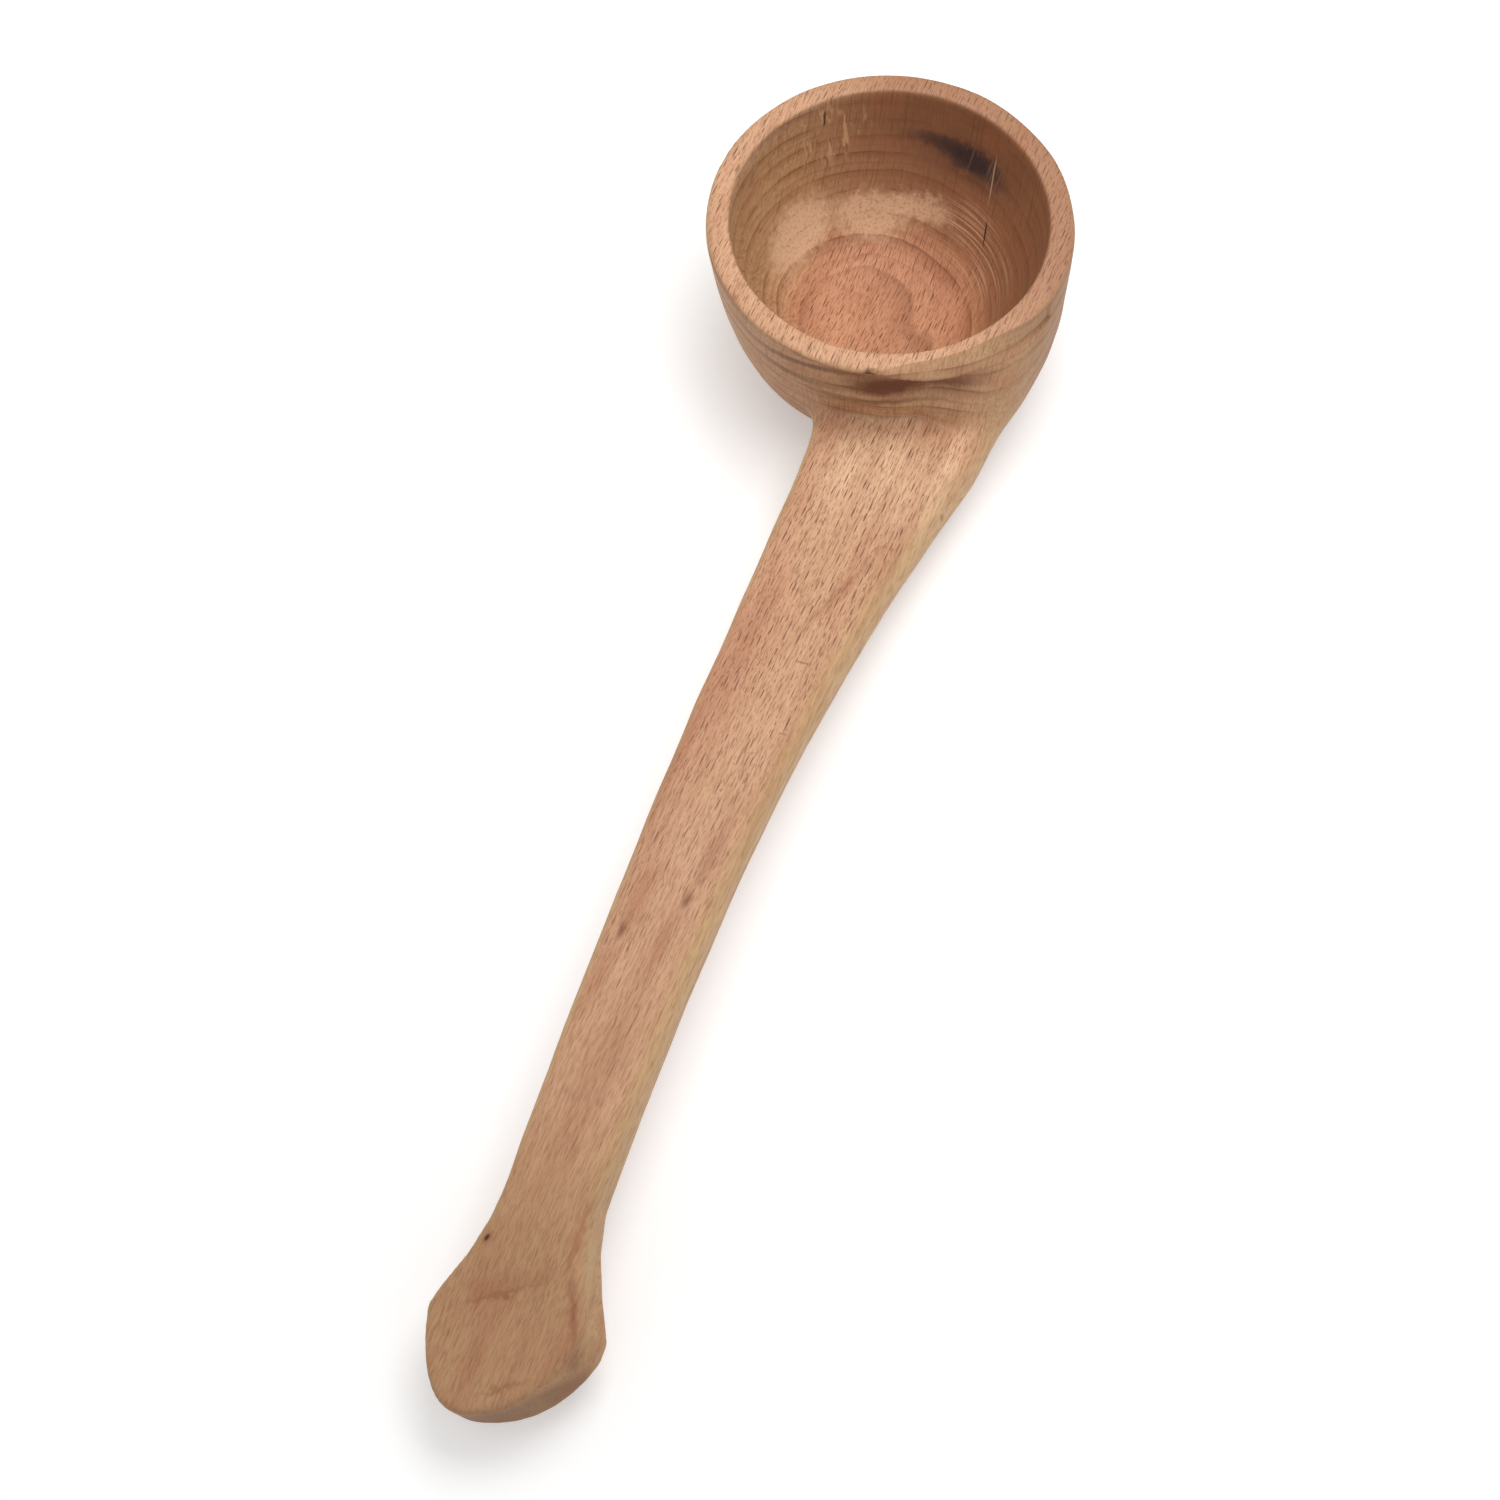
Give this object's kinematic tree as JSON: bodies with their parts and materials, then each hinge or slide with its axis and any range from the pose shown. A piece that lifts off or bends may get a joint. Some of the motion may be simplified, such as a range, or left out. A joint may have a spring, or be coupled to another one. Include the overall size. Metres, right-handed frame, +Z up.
{
  "type": "wooden ladle",
  "caption": "Kitchen ladle carved from one block of beech: a deep round bowl whose flank runs into an arched handle with a flared, slanted end.",
  "frame": {"origin": "middle of the flat foot under the bowl, on the table", "axes": "+Z up out of the bowl's mouth, the handle runs along -Y, +X is the side on which the bowl's flank runs straight into the handle"},
  "size_m": [0.0866, 0.3215, 0.05],
  "materials": {
    "beech": "sanded and left bare, with ray flecks along the grain"
  },
  "bodies": {
    "root": {"ladle": "beech"}
  },
  "joints": []
}
